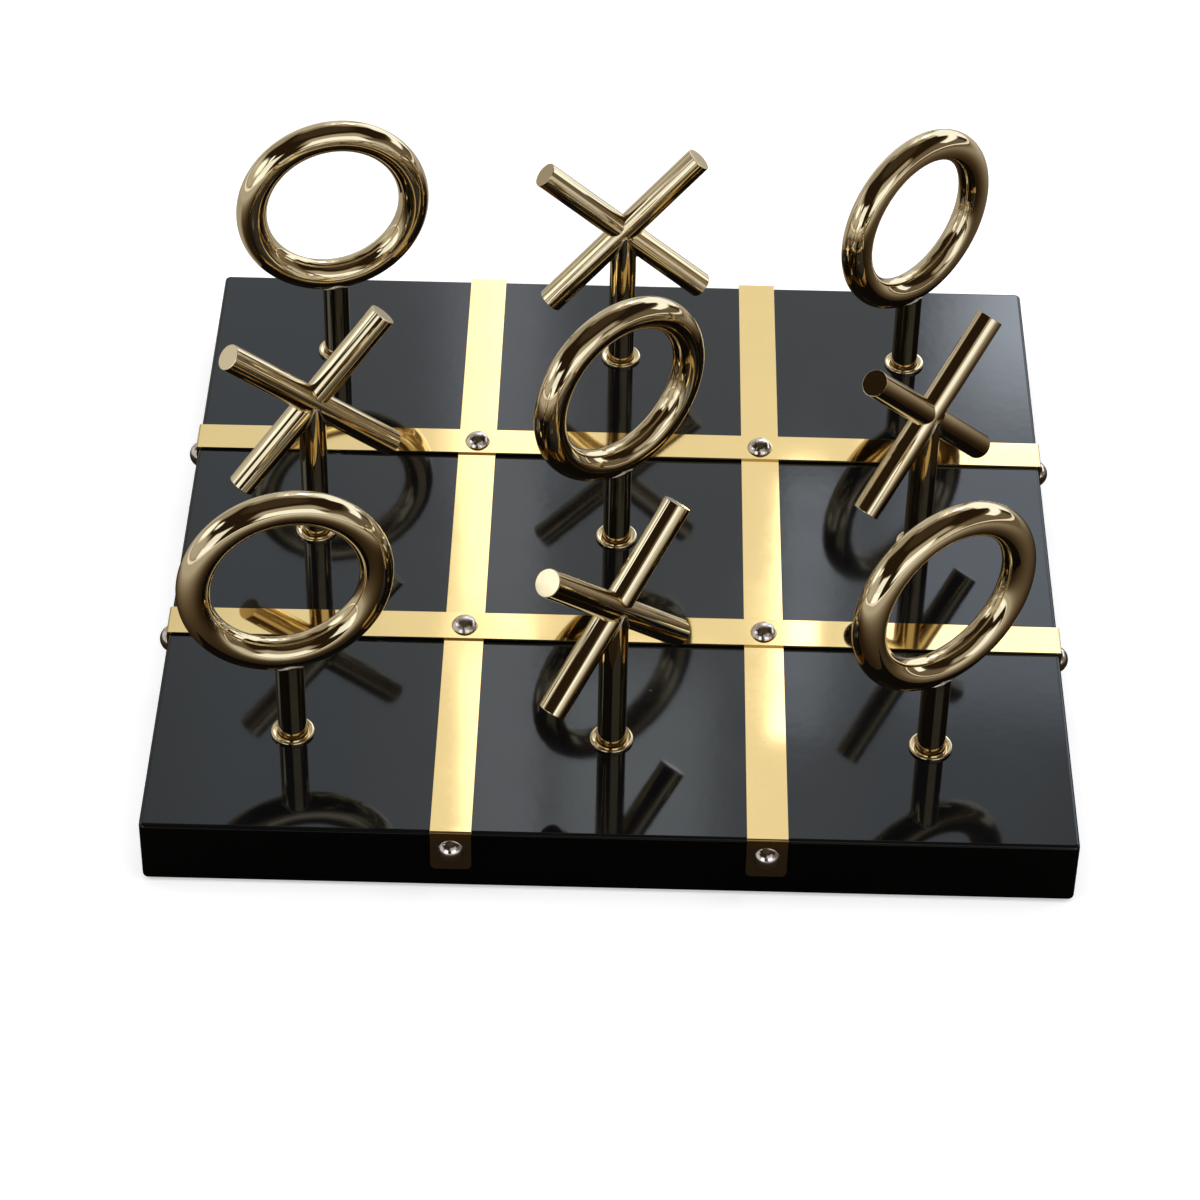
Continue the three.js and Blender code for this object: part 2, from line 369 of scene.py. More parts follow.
# How smudges change polished metal, and what lies in and on the lacquer, with sizes in metres.
SMUDGED_TONE = 0.78
SMUDGED_ROUGHNESS = 1.9
GRAIN_ROUGHNESS = 0.012
DUST_SPACING = 0.009
DUST_COLOUR = (0.045, 0.045, 0.05, 1.0)
DUST_ROUGHNESS = 0.2
PEEL_DEPTH = 0.000004


class Nodes:
    """Adds shader nodes to a tree and links them."""

    def __init__(self, tree):
        self.tree = tree

    def add(self, kind, inputs=None, **values):
        node = self.tree.nodes.new(kind)
        for name, value in values.items():
            setattr(node, name, value)
        return self.fill(node, inputs or {})

    def fill(self, node, inputs):
        """Feeds a node's inputs: a socket is linked, and a plain value is set on the input itself."""
        for key, value in inputs.items():
            if isinstance(value, bpy.types.NodeSocket):
                self.tree.links.new(value, node.inputs[key])
            else:
                node.inputs[key].default_value = value
        return node

    def math(self, operation, *values):
        return self.add("ShaderNodeMath", dict(enumerate(values)), operation=operation).outputs[0]

    def vector_math(self, operation, *values):
        node = self.add("ShaderNodeVectorMath", dict(enumerate(values)), operation=operation)
        return node.outputs["Value" if operation == "LENGTH" else "Vector"]

    def axes(self, vector):
        return self.add("ShaderNodeSeparateXYZ", {"Vector": vector}).outputs

    def noise(self, place, size, detail=2.0, roughness=0.5):
        """Soft noise, with blotches of about the given size in metres."""
        return self.add("ShaderNodeTexNoise", {
            "Vector": place, "Scale": 1 / size, "Detail": detail, "Roughness": roughness,
        }).outputs["Fac"]

    def spread(self, value, low, high, to_low, to_high, soft=False):
        """Brings a value from one range to another, with soft ends where asked."""
        return self.add("ShaderNodeMapRange", {
            "Value": value, "From Min": low, "From Max": high, "To Min": to_low, "To Max": to_high,
        }, interpolation_type="SMOOTHSTEP" if soft else "LINEAR").outputs["Result"]

    def mix(self, factor, first, second, blend="MIX"):
        return self.add("ShaderNodeMix", {"Factor": factor, "A": first, "B": second},
                        data_type="RGBA", blend_type=blend).outputs["Result"]

    def bump(self, height, depth, strength=1.0):
        return self.add("ShaderNodeBump", {
            "Height": height, "Distance": depth, "Strength": strength,
        }).outputs["Normal"]


def rgba(rgb, factor=1.0):
    return tuple(channel * factor for channel in rgb) + (1.0,)


def new_material(name):
    """A material with its shader, its node helper and the object coordinates in metres."""
    material = bpy.data.materials.new(name)
    material.use_nodes = True
    nodes = Nodes(material.node_tree)
    shader = material.node_tree.nodes["Principled BSDF"]
    place = nodes.add("ShaderNodeTexCoord").outputs["Object"]
    return material, shader, nodes, place


def polished_metal(name, rgb, roughness, wave_size, wave_depth, ripple_share, smudge):
    """Mirror-polished metal: a faint waviness from hand polishing, and smudges that dull it."""
    material, shader, nodes, place = new_material(name)
    smudges = nodes.noise(place, size=0.035, detail=4.0, roughness=0.6)
    dull = nodes.spread(smudges, 0.45, 0.75, 0.0, 1.0)
    tone = nodes.mix(nodes.math("MULTIPLY", dull, smudge), rgba(rgb), rgba(rgb, SMUDGED_TONE))
    grain = nodes.noise(place, size=0.0012)
    rough = nodes.math("ADD", nodes.spread(dull, 0, 1, roughness, roughness * SMUDGED_ROUGHNESS),
                       nodes.spread(grain, 0, 1, -GRAIN_ROUGHNESS, GRAIN_ROUGHNESS))
    wave = nodes.noise(place, size=wave_size, detail=1.5)
    ripple = nodes.noise(place, size=wave_size / 4, detail=1.0)
    height = nodes.math("ADD", wave, nodes.math("MULTIPLY", ripple, ripple_share))
    nodes.fill(shader, {
        "Metallic": 1.0,
        "Base Color": tone,
        "Roughness": rough,
        "Normal": nodes.bump(height, wave_depth),
    })
    return material


def lacquer_material():
    """Black gloss lacquer with a trace of orange peel, wiping marks and settled dust."""
    finish = settings().finish
    material, shader, nodes, place = new_material("lacquer_finish")
    dust = nodes.add("ShaderNodeTexVoronoi", {"Vector": place, "Scale": 1 / DUST_SPACING}, feature="F1")
    speck_size = nodes.spread(nodes.noise(place, size=0.03), 0.5, 0.8, 0.0, 0.05)
    speck = nodes.math("LESS_THAN", dust.outputs["Distance"], speck_size)
    wipe = nodes.noise(place, size=0.06, detail=3.0, roughness=0.6)
    rough = nodes.spread(wipe, 0.3, 0.75, finish.gloss_roughness * 0.7, finish.gloss_roughness * 1.5)
    nodes.fill(shader, {
        "Base Color": nodes.mix(speck, rgba(finish.lacquer), DUST_COLOUR),
        "Roughness": nodes.math("ADD", rough, nodes.math("MULTIPLY", speck, DUST_ROUGHNESS)),
        "Normal": nodes.bump(nodes.noise(place, size=0.004, detail=1.0), PEEL_DEPTH),
        "IOR": 1.52,
        "Specular Tint": (0.9, 0.97, 1.0, 1.0),
    })
    return material


def board_side_material():
    """The board's painted sides, duller than its top."""
    paint = settings().finish.board_side
    material, shader, nodes, place = new_material("board_side_finish")
    blotches = nodes.noise(place, size=0.02, detail=3.0)
    brushing = nodes.noise(place, size=0.008)
    nodes.fill(shader, {
        "Base Color": nodes.mix(blotches, rgba(paint, 0.8), rgba(paint, 1.5)),
        "Roughness": nodes.spread(brushing, 0.2, 0.8, 0.16, 0.26),
        "Specular IOR Level": 0.12,
    })
    return material


def felt_material():
    """Short matted felt."""
    cloth = settings().finish.felt
    material, shader, nodes, place = new_material("felt_finish")
    fibres = nodes.noise(place, size=0.0006, detail=6.0, roughness=0.7)
    nodes.fill(shader, {
        "Base Color": nodes.mix(fibres, rgba(cloth, 0.6), rgba(cloth, 1.8)),
        "Normal": nodes.bump(fibres, depth=0.0003, strength=0.8),
        "Roughness": 0.95,
        "Sheen Weight": 0.3,
    })
    return material


def bar_material():
    finish = settings().finish
    return polished_metal("bar_finish", finish.bar, finish.bar_roughness,
                          wave_size=0.012, wave_depth=0.000028, ripple_share=0.15, smudge=0.5)


def strap_material():
    """Pale brass strip, greyer on the tabs that fold down over the board's edge: a painted reflection tone
    that stands in for the dim grey table the tabs mirror.
    """
    finish = settings().finish
    material = polished_metal("strap_finish", finish.strap, finish.strap_roughness,
                              wave_size=0.05, wave_depth=0.00004, ripple_share=0.04, smudge=0.25)
    nodes = Nodes(material.node_tree)
    shader = material.node_tree.nodes["Principled BSDF"]
    brass = shader.inputs["Base Color"].links[0].from_socket
    height = nodes.axes(nodes.add("ShaderNodeTexCoord").outputs["Object"])["Z"]
    # Below the board's top the brass turns to the tab colour, a painted tone for the grey table the tabs
    # mirror.
    above_the_tabs = nodes.spread(height, BOARD_TOP - 4 * MM, BOARD_TOP - MM, 0.0, 1.0, soft=True)
    nodes.fill(shader, {"Base Color": nodes.mix(above_the_tabs, rgba(finish.tab), brass)})
    return material


def stud_material():
    return polished_metal("stud_finish", settings().finish.stud, roughness=0.14,
                          wave_size=0.004, wave_depth=0.00001, ripple_share=0.2, smudge=0.4)


def braze_material():
    return polished_metal("braze_finish", settings().finish.braze, roughness=0.32,
                          wave_size=0.002, wave_depth=0.00006, ripple_share=0.35, smudge=0.5)


def named_material(name, make):
    return bpy.data.materials.get(name) or make()


def bar_metal():
    return named_material("bar_finish", bar_material)


# The board


class SET_OT_board(bpy.types.Operator):
    """Make the lacquered board with its socket holes"""
    bl_idname = "tic_tac_toe.board"
    bl_label = "Board"

    def execute(self, context):
        sizes = settings().board
        board = new_object(bpy.ops.mesh.primitive_cube_add, "lacquered_board", BOARD_HIGH - BOARD_LOW,
                           size=1, location=middle("board"))
        with Editing(board) as edit:
            edit.pick("edges", lambda edge: abs(edge.verts[0].co.z - edge.verts[1].co.z) > MM)
            bpy.ops.mesh.bevel(offset=sizes.corner_radius, segments=EDGE_STEPS, affect="EDGES")
            edit.pick("edges", lambda edge: any(all(abs(vert.co.z - rim) < NEAR for vert in edge.verts)
                                                for rim in (BOARD_LOW.z, BOARD_TOP)))
            bpy.ops.mesh.bevel(offset=sizes.edge_radius, segments=EDGE_STEPS, affect="EDGES")
        for place in FIGURES:
            hole = new_object(bpy.ops.mesh.primitive_cylinder_add, f"hole_{place}", vertices=HOLE_SIDES,
                              radius=sizes.socket_hole_radius, depth=2 * sizes.socket_hole_depth,
                              location=socket_point(place))
            add_modifier(board, "BOOLEAN", operation="DIFFERENCE", object=hole, solver="EXACT")
            delete(hole)
        flat_faces_true(board)
        top = named_material("lacquer_finish", lacquer_material)
        board.data.materials.clear()
        board.data.materials.append(top)
        board.data.materials.append(named_material("board_side_finish", board_side_material))
        steepest_top = 0.3
        for face in board.data.polygons:
            on_a_side = abs(face.normal.z) < steepest_top and face.center.z < BOARD_TOP - MM
            face.material_index = 1 if on_a_side else 0
        finish_piece(board, top, "board", "board")
        return {"FINISHED"}


class SET_OT_felt(bpy.types.Operator):
    """Give the felt underneath its finish"""
    bl_idname = "tic_tac_toe.felt"
    bl_label = "Felt"

    def execute(self, context):
        cloth = named_material("felt_finish", felt_material)
        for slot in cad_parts["felt_base"].material_slots:
            slot.material = cloth
        return {"FINISHED"}


# Straps and studs


def strap_height(along, crossing, settle, phase):
    """How high a point of a strap lies against the straight strip that it was cut from."""
    low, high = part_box("strap_left")
    width = high.x - low.x
    held = crossing + width / 2
    free = min(max((abs(along) - held) / (HALF_BOARD - held), 0), 1)
    down = settle * free * free * (3 - 2 * free)
    wave = 1 + waves(2 * math.pi * along / HALF_BOARD, (0.6, 1, phase), (0.4, 3, 2.3 * phase))
    near_crossing = math.exp(-((abs(along) - crossing) / width) ** 2)
    return settings().strap.waviness / 2 * wave * (1 - near_crossing) - down


def strap_shape(name, reach, width, foot, top, settle, phase):
    """A strap along X whose ends, at the reach on both sides, fold down over the board's sides."""
    sizes = settings().strap
    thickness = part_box("strap_left")[1].y - HALF_BOARD
    under = top - thickness
    inner = reach - thickness
    strap = new_object(bpy.ops.mesh.primitive_cube_add, name, (2 * reach, width, thickness),
                       size=1, location=(0, 0, (top + under) / 2))
    with Editing(strap) as edit:
        for side in (-1, 1):
            bpy.ops.mesh.select_all(action="SELECT")
            bpy.ops.mesh.bisect(plane_co=(side * inner, 0, 0), plane_no=(1, 0, 0))
        edit.pick("edges", lambda edge: all(abs(vert.co.x) < inner + NEAR for vert in edge.verts)
                  and abs(edge.verts[0].co.x - edge.verts[1].co.x) > NEAR)
        bpy.ops.mesh.subdivide(number_cuts=sizes.steps)
        crossing = middle("strap_right").x
        for vert in edit.mesh().verts:
            vert.co.z += strap_height(vert.co.x, crossing, settle, phase)
        edit.update()
        end_height = strap_height(inner, crossing, settle, phase)
        top, under = top + end_height, under + end_height
        edit.pick("faces", lambda face: face.normal.z < -0.9 and abs(face.calc_center_median().x) > inner)
        bpy.ops.mesh.extrude_region_move(TRANSFORM_OT_translate={"value": (0, 0, foot - under)})
        folds = (reach, top, sizes.bend_radius + thickness), (inner, under, sizes.bend_radius)
        for out, height, radius in folds:
            edit.pick("edges", lambda edge: all(
                abs(abs(vert.co.x) - out) < NEAR and abs(vert.co.z - height) < NEAR for vert in edge.verts))
            bpy.ops.mesh.bevel(offset=radius, segments=FOLD_STEPS, affect="EDGES")
        edit.pick("edges", lambda edge: abs(edge.verts[0].co.x - edge.verts[1].co.x) > NEAR and all(
            abs(vert.co.z - foot) < NEAR for vert in edge.verts))
        bpy.ops.mesh.bevel(offset=sizes.tab_corner_radius, segments=EDGE_STEPS, affect="EDGES")
    add_modifier(strap, "BEVEL", width=sizes.edge_rounding, segments=3, limit_method="ANGLE",
                 angle_limit=math.radians(50))
    flat_faces_true(strap, degrees=40)
    return strap


class SET_OT_straps(bpy.types.Operator):
    """Make the four folded brass straps"""
    bl_idname = "tic_tac_toe.straps"
    bl_label = "Straps"

    def execute(self, context):
        metal = named_material("strap_finish", strap_material)
        for phase, node in enumerate(("strap_left", "strap_right", "strap_back", "strap_front")):
            low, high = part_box(node)
            if high.y - low.y > high.x - low.x:
                reach, width, degrees, settle = high.y, high.x - low.x, 90, 0
            else:
                reach, width, degrees, settle = high.x, high.y - low.y, 0, settings().strap.settle
            strap = strap_shape(f"brass_{node}", reach, width, low.z, high.z, settle, phase)
            turn = Matrix.Rotation(math.radians(degrees), 4, "Z")
            place_mesh(strap, Matrix.Translation(middle(node) * Vector((1, 1, 0))) @ turn)
            finish_piece(strap, metal, "board", node)
        return {"FINISHED"}


class SET_OT_studs(bpy.types.Operator):
    """Make the dome-headed studs at the crossings and on the tabs"""
    bl_idname = "tic_tac_toe.studs"
    bl_label = "Studs"

    def execute(self, context):
        sizes = settings().stud
        dome_height = sizes.head_height - sizes.rim_height
        dome_radius = (sizes.head_radius ** 2 + dome_height ** 2) / (2 * dome_height)
        dome_angle = math.degrees(math.asin(sizes.head_radius / dome_radius))
        dome_centre = (0, sizes.head_height - dome_radius)
        shank, tip, foot = sizes.shank_radius, 0.3 * sizes.shank_radius, -sizes.shank_length
        profile = [
            (0, foot),
            (tip, foot),
            (shank, foot + 2 * shank),
            (shank, 0),
            (sizes.head_radius, 0),
            *arc(dome_centre, dome_radius, 90 - dome_angle, NEAR_CROWN, DOME_STEPS),
            (0, sizes.head_height),
        ]
        master = turned("stud", profile, STUD_SIDES)
        smooth(master, degrees=35)
        metal = named_material("stud_finish", stud_material)
        drop = Matrix.Translation((0, 0, -sizes.head_height))
        for node in [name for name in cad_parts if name.startswith("stud_")]:
            low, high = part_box(node)
            point = middle(node)
            heads = [
                (high.z > BOARD_TOP + MM, 0, "X", (point.x, point.y, high.z)),
                (low.y < BOARD_LOW.y - MM, 90, "X", (point.x, low.y, point.z)),
                (high.y > BOARD_HIGH.y + MM, -90, "X", (point.x, high.y, point.z)),
                (low.x < BOARD_LOW.x - MM, -90, "Y", (low.x, point.y, point.z)),
                (high.x > BOARD_HIGH.x + MM, 90, "Y", (high.x, point.y, point.z)),
            ]
            degrees, axis, crown = next(head for found, *head in heads if found)
            turn = Matrix.Rotation(math.radians(degrees), 4, axis)
            stud = place_mesh(copy_of(master, f"dome_{node}"), Matrix.Translation(crown) @ turn @ drop)
            finish_piece(stud, metal, "board", node)
        delete(master)
        return {"FINISHED"}


# Sockets and posts


class SET_OT_sockets(bpy.types.Operator):
    """Make the flanged sockets that the posts drop into"""
    bl_idname = "tic_tac_toe.sockets"
    bl_label = "Sockets"

    def execute(self, context):
        sizes = settings().socket
        foot, top = (corner.z - BOARD_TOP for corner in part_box("socket_front_left"))
        lift = top - sizes.flange_height
        rim = sizes.flange_radius - sizes.rim_width
        round_centre = (sizes.flange_radius - sizes.rounding, top - sizes.rounding)
        bore, dish = sizes.bore_radius, sizes.dish
        profile = [
            (bore, foot),
            (sizes.sleeve_radius, foot),
            (sizes.sleeve_radius, lift),
            (sizes.flange_radius, lift),
            *arc(round_centre, sizes.rounding, 0, 90, EDGE_STEPS),
            (rim, top),
            (rim - 0.3 * dish, top - 0.7 * dish),
            (bore + 0.5 * dish, top - dish),
            (bore, top - 1.4 * dish),
            (bore, foot),
        ]
        master = turned("socket", profile, SOCKET_SIDES)
        smooth(master, degrees=35)
        for place in FIGURES:
            socket = place_mesh(copy_of(master, f"flanged_socket_{place}"),
                                Matrix.Translation(socket_point(place)))
            finish_piece(socket, bar_metal(), "board", f"socket_{place}")
        delete(master)
        return {"FINISHED"}


class SET_OT_posts(bpy.types.Operator):
    """Make the round posts"""
    bl_idname = "tic_tac_toe.posts"
    bl_label = "Posts"

    def execute(self, context):
        sizes = settings().figure
        radius, chamfer = sizes.post_radius, sizes.post_chamfer
        for place in FIGURES:
            node = f"post_{place}"
            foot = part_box(node)[0].z
            seam = stub_seam(place)
            core = radius * 0.97
            post = turned(f"round_{node}", [
                (0, foot),
                (radius - chamfer, foot),
                (radius, foot + chamfer),
                (radius, seam),
                (core, seam),
                (core, seam + MM),
                (0, seam + MM),
            ], sizes.bar_sides)
            smooth(post)
            place_mesh(post, Matrix.Translation(middle(node) * Vector((1, 1, 0))))
            finish_piece(post, bar_metal(), node, node)
        return {"FINISHED"}


def stub_seam(place):
    """The height of the unseen line where a post ends and the top of it that its head carries begins."""
    top_of_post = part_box(f"post_{place}")[1].z
    if FIGURES[place][0] == "ring":
        return (top_of_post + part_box(f"ring_{place}")[0].z) / 2
    return top_of_post


# Rings and crosses


def point_at(surface, out, reach, above=0.0):
    """The point above a surface of x and y, on the side called out, at a reach from the post's axis."""
    return out * reach + Vector((0, 0, surface(out.x * reach, out.y * reach) + above))


def stub(name, foot, surface):
    """The top of a post from its seam up to the surface of the bar that it carries, which it meets
    in a hollow fillet of braze. The surface is a function of x and y."""
    sizes = settings().figure
    radius, braze = sizes.post_radius, sizes.braze_width
    rows = FILLET_STEPS + 3
    core, inset, fillet_height = 0.6 * radius, 0.3 * braze, 1.6 * braze
    sunk, deeper = 0.5 * MM, 1.5 * MM
    obj = new_object(bpy.ops.mesh.primitive_circle_add, name, vertices=sizes.bar_sides, radius=radius,
                     location=(0, 0, foot), fill_type="NGON")
    with Editing(obj) as edit:
        edit.pick("edges", lambda edge: True)
        for _ in range(rows):
            bpy.ops.mesh.extrude_edges_move(TRANSFORM_OT_translate={"value": (0, 0, MM)})
        bpy.ops.mesh.edge_face_add()
        for vert in edit.mesh().verts:
            row = round((vert.co.z - foot) / MM)
            if row == 0:
                continue
            out = Vector((vert.co.x, vert.co.y, 0)).normalized()
            seam = point_at(surface, out, radius)
            end = point_at(surface, out, radius + braze, 0.02 * MM)
            if row == rows:
                vert.co = point_at(surface, out, core, deeper)
            elif row == rows - 1:
                vert.co = end - inset * out + Vector((0, 0, sunk))
            else:
                along = (row - 1) / FILLET_STEPS
                start = seam - Vector((0, 0, fillet_height))
                vert.co = (1 - along) ** 2 * start + 2 * along * (1 - along) * seam + along ** 2 * end
        edit.update()
        edit.face_outwards()
    obj.data.materials.append(bar_metal())
    return obj


def braze_bead(name, surface):
    """The uneven bead of pale braze where a post meets the surface of the bar above it."""
    sizes = settings().figure
    reach = sizes.post_radius + 0.3 * sizes.bead_radius
    obj = new_object(bpy.ops.mesh.primitive_torus_add, name, major_segments=sizes.bar_sides,
                     minor_segments=BEAD_SIDES, major_radius=reach, minor_radius=sizes.bead_radius)
    with Editing(obj) as edit:
        for vert in edit.mesh().verts:
            angle = math.atan2(vert.co.y, vert.co.x)
            out = Vector((math.cos(angle), math.sin(angle), 0))
            swell = 1 + waves(angle, (0.3, 3, 1), (0.25, 7, 2), (0.15, 13, 0))
            seam = point_at(surface, out, reach, -0.4 * sizes.bead_radius)
            vert.co = seam + (vert.co - out * reach) * swell
        edit.update()
    obj.data.materials.append(named_material("braze_finish", braze_material))
    return obj


def join(first, *others):
    take(first)
    for obj in others:
        obj.select_set(True)
    bpy.ops.object.join()


def figure_matrix(place):
    """Takes a figure from the origin, facing forwards, to its socket."""
    turn = math.radians(FIGURES[place][1])
    point = socket_point(place)
    return Matrix.Translation((point.x, point.y, 0)) @ Matrix.Rotation(turn, 4, "Z")


class SET_OT_rings(bpy.types.Operator):
    """Make the five rings of round bar"""
    bl_idname = "tic_tac_toe.rings"
    bl_label = "Rings"

    def execute(self, context):
        sizes = settings().figure
        metal = bar_metal()
        places = [place for place, figure in FIGURES.items() if figure[0] == "ring"]
        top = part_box(f"ring_{places[0]}")[1].z
        centre = top - sizes.ring_radius - sizes.ring_bar_radius
        master = new_object(bpy.ops.mesh.primitive_torus_add, "ring", major_segments=sizes.ring_steps,
                            minor_segments=sizes.bar_sides, major_radius=sizes.ring_radius,
                            minor_radius=sizes.ring_bar_radius, location=(0, 0, centre),
                            rotation=(math.pi / 2, 0, 0))

        def underside(x, y):
            bar = math.sqrt(max(sizes.ring_bar_radius ** 2 - y ** 2, 0))
            return centre - math.sqrt((sizes.ring_radius + bar) ** 2 - x ** 2)

        master.data.materials.append(metal)
        join(master, stub("post_top", stub_seam(places[0]), underside), braze_bead("ring_bead", underside))
        smooth(master, degrees=40)
        for place in places:
            ring = place_mesh(copy_of(master, f"bar_ring_{place}"), figure_matrix(place))
            finish_piece(ring, metal, f"head_{place}", f"ring_{place}")
        delete(master)
        return {"FINISHED"}


def rod_end(end, inwards):
    """The rounded chamfer at a rod's end, from its flat face to its side."""
    sizes = settings().figure
    radius, chamfer = sizes.rod_radius, sizes.rod_chamfer
    return [(radius - inset * chamfer, end + inwards * along * chamfer)
            for inset, along in ((1, 0), (0.3, 0.3), (0, 1))]


def rod(name, half):
    """A round rod along Z with chamfered ends."""
    return turned(name, [(0, -half), *rod_end(-half, 1), *reversed(rod_end(half, -1)), (0, half)],
                  settings().figure.bar_sides)


def coped_rod(name, half):
    """Half a rod along Z, from a notch a little wider than the through rod's side out to its end.
    A small groove round the notch shows where the two are joined."""
    sizes = settings().figure
    radius, groove = sizes.rod_radius, sizes.groove
    cutter = radius * sizes.notch_width
    obj = turned(name, [(radius - groove, 0), (radius, groove), *reversed(rod_end(half, -1)), (0, half)],
                 sizes.bar_sides)
    with Editing(obj) as edit:
        edit.pick("edges", lambda edge: all(abs(vert.co.z) < NEAR for vert in edge.verts))
        bpy.ops.mesh.extrude_edges_move()
        bpy.ops.mesh.merge(type="CENTER")
        for vert in edit.mesh().verts:
            if vert.co.z < 2 * groove and vert.co.xy.length > radius / 2:
                notch = math.sqrt(cutter ** 2 - vert.co.y ** 2) - cutter + radius
                vert.co.z = notch + (1.2 * vert.co.z if vert.co.z > groove / 2 else -0.2 * groove)
        edit.update()
        edit.face_outwards()
    return obj


class SET_OT_crosses(bpy.types.Operator):
    """Make the four crosses of coped round rods"""
    bl_idname = "tic_tac_toe.crosses"
    bl_label = "Crosses"

    def execute(self, context):
        sizes = settings().figure
        metal = bar_metal()
        half = sizes.rod_length / 2
        for place, (kind, _, tilt, rise) in FIGURES.items():
            if kind != "cross":
                continue
            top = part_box(f"cross_{place}_through_rod")[1].z
            lean = math.radians(rise * 45 - tilt)
            other = math.radians(-rise * 45 - tilt)
            centre = top - abs(math.cos(lean)) * half - abs(math.sin(lean)) * sizes.rod_radius
            lift = Matrix.Translation((0, 0, centre))
            turn = figure_matrix(place)

            def underside(x, y, leans=(lean, other), middle_height=centre):
                bar = math.sqrt(max(sizes.rod_radius ** 2 - y ** 2, 0))
                return middle_height + min(x / math.tan(angle) - bar / abs(math.sin(angle))
                                           for angle in leans)

            through = place_mesh(rod(f"through_rod_{place}", half), lift @ Matrix.Rotation(lean, 4, "Y"))
            through.data.materials.append(metal)
            join(through, stub(f"post_top_{place}", stub_seam(place), underside),
                 braze_bead(f"cross_bead_{place}", underside))
            flat_faces_true(through, degrees=40)
            place_mesh(through, turn)
            finish_piece(through, metal, f"head_{place}", f"cross_{place}_through_rod")
            for part, flip in (("upper", 0), ("lower", math.pi)):
                piece = coped_rod(f"{part}_rod_{place}", half)
                flat_faces_true(piece, degrees=40)
                place_mesh(piece, turn @ lift @ Matrix.Rotation(other + flip, 4, "Y"))
                finish_piece(piece, metal, f"head_{place}", f"cross_{place}_{part}_rod")
        return {"FINISHED"}


# Studio

# What the polished metal and the lacquer mirror: walls, windows and lamps, each as its bearing
# from straight back (to the right is positive), half its width, its elevation, half its height
# and the softness of its edges, all in degrees, and how bright it is.
STUDIO_PANELS = [
    ("back wall", -16, 18, 18, 30, 6, 0.54),
    ("left part of the back wall", -48, 20, 16, 28, 8, 0.38),
    ("middle of the back wall", 0, 12, 30, 21, 5, 0.76),
    ("top of the back wall", -5, 42, 55, 8, 8, 0.3),
    ("right back window", 26, 19, 11, 24, 3, 1.2),
    ("right back curtain", 20, 16, 38, 9, 5, 0.66),
    ("right lamp", 60, 22, 17, 6, 2, 1.25),
    ("right wall", 92, 36, 2, 24, 8, 0.16),
    ("right front window", 153, 19, 16, 12, 3, 1.2),
    ("right front wall", 138, 24, 3, 12, 6, 0.66),
    ("right front curtain", 150, 32, 36, 11, 6, 0.46),
    ("front left window", -148, 14, 17, 9, 2, 1.12),
    ("foot of the front left window", -147, 16, 2, 8, 2, 1.3),
    ("front left wall", -128, 28, 9, 11, 5, 0.5),
    ("left wall", -86, 34, 11, 14, 5, 0.52),
    ("lit part of the left wall", -70, 14, 13, 7, 4, 0.68),
    ("ceiling", 0, 200, 90, 32, 10, 0.05),
]

# The panes of the windows at the back, which the board's top shows, in the same terms but
# with the colour of their light.
WINDOW_PANES = [
    ("pale curtain", 0, 7, 40, 10, 2.5, (0.83, 0.85, 0.87)),
    ("left window", -2.3, 0.9, 38.5, 9, 0.25, (1.75, 1.75, 1.8)),
    ("foot of the left window", -2.3, 0.9, 34.5, 5.5, 2.5, (2.5, 2.55, 2.7)),
    ("middle window", 0.45, 1.7, 43.6, 2.4, 0.6, (1.75, 1.78, 1.8)),
    ("right window", 3.7, 0.65, 40.3, 2.0, 0.25, (2.4, 2.45, 2.6)),
    ("far right window", 12, 7, 34, 7, 4, (1.25, 1.36, 1.45)),
    ("bright pane", 10.5, 4.6, 33.2, 4.2, 1.5, (4.6, 4.8, 5.2)),
    ("foot of the bright pane", 7.6, 2.4, 39, 2.8, 0.8, (1.8, 1.9, 2.1)),
]

# Near lamps that only the polish shows: where each hangs, and half its width and height in metres.
LAMP_CARDS = [
    ("left_lamp_card", (-0.4, -0.02, 0.23), 0.13, 0.085),
    ("front_of_the_left_lamp_card", (-0.4, -0.15, 0.335), 0.065, 0.055),
]
LAMP_CARD_LEVEL = 1.4

# Soft lamps that the polish doesn't show: where each hangs. All point at the figures.
SOFT_LAMPS = [
    ("left_lamp", (-1.1, -0.7, 1.4)),
    ("right_lamp", (1.2, -0.2, 1.5)),
    ("back_lamp", (0.1, 1.2, 1.5)),
]
LAMP_AIM = (0, 0, 0.05)

# The table as the polish shows it, a glowing card with the board's shadow painted on: two distances in
# metres and its level at each, away from the board (the low level close to the board is the painted shadow),
# behind it, and then how it is dimmed to the right.
TABLE_SIDE = 2.4
TABLE_HEIGHT = 0.0004
TABLE_SHADOW_FADE = (0.17, 0.56, 0.02, 0.5)
TABLE_BEHIND = (0.15, 0.24, 0.0, 0.42)
TABLE_TO_THE_RIGHT = (0.1, 0.5, 1.0, 0.3)

STUDIO_DARK = 0.02
AMBIENT = (0.5, 0.5, 0.5, 1.0)
BLACK = (0.0, 0.0, 0.0, 1.0)
WHITE = (1.0, 1.0, 1.0, 1.0)
FLOOR_GLOW = 0.45
FLOOR_PAPER = (0.8, 0.8, 0.8, 1.0)

# How the light's green and blue follow its red: the power, and the share where red is 1.
GREEN_CURVE = (1.14, 1.09)
BLUE_CURVE = (1.33, 1.2)

# The photograph's camera: its place in metres, and its turn, tip and roll in degrees.
CAMERA_POINT = (0.00102, -1.0430, 0.8838)
CAMERA_ANGLES = (0.351, 90 - 40.418, 1.132)
SENSOR_WIDTH = 36
NEAR_CLIP = 0.05


def daylight(nodes, level):
    """Light of a given level, warm where it is dim and cool where it is bright."""
    green, blue = (nodes.math("MULTIPLY", nodes.math("POWER", level, power), part)
                   for power, part in (GREEN_CURVE, BLUE_CURVE))
    return nodes.add("ShaderNodeCombineColor", {"Red": level, "Green": green, "Blue": blue}).outputs["Color"]


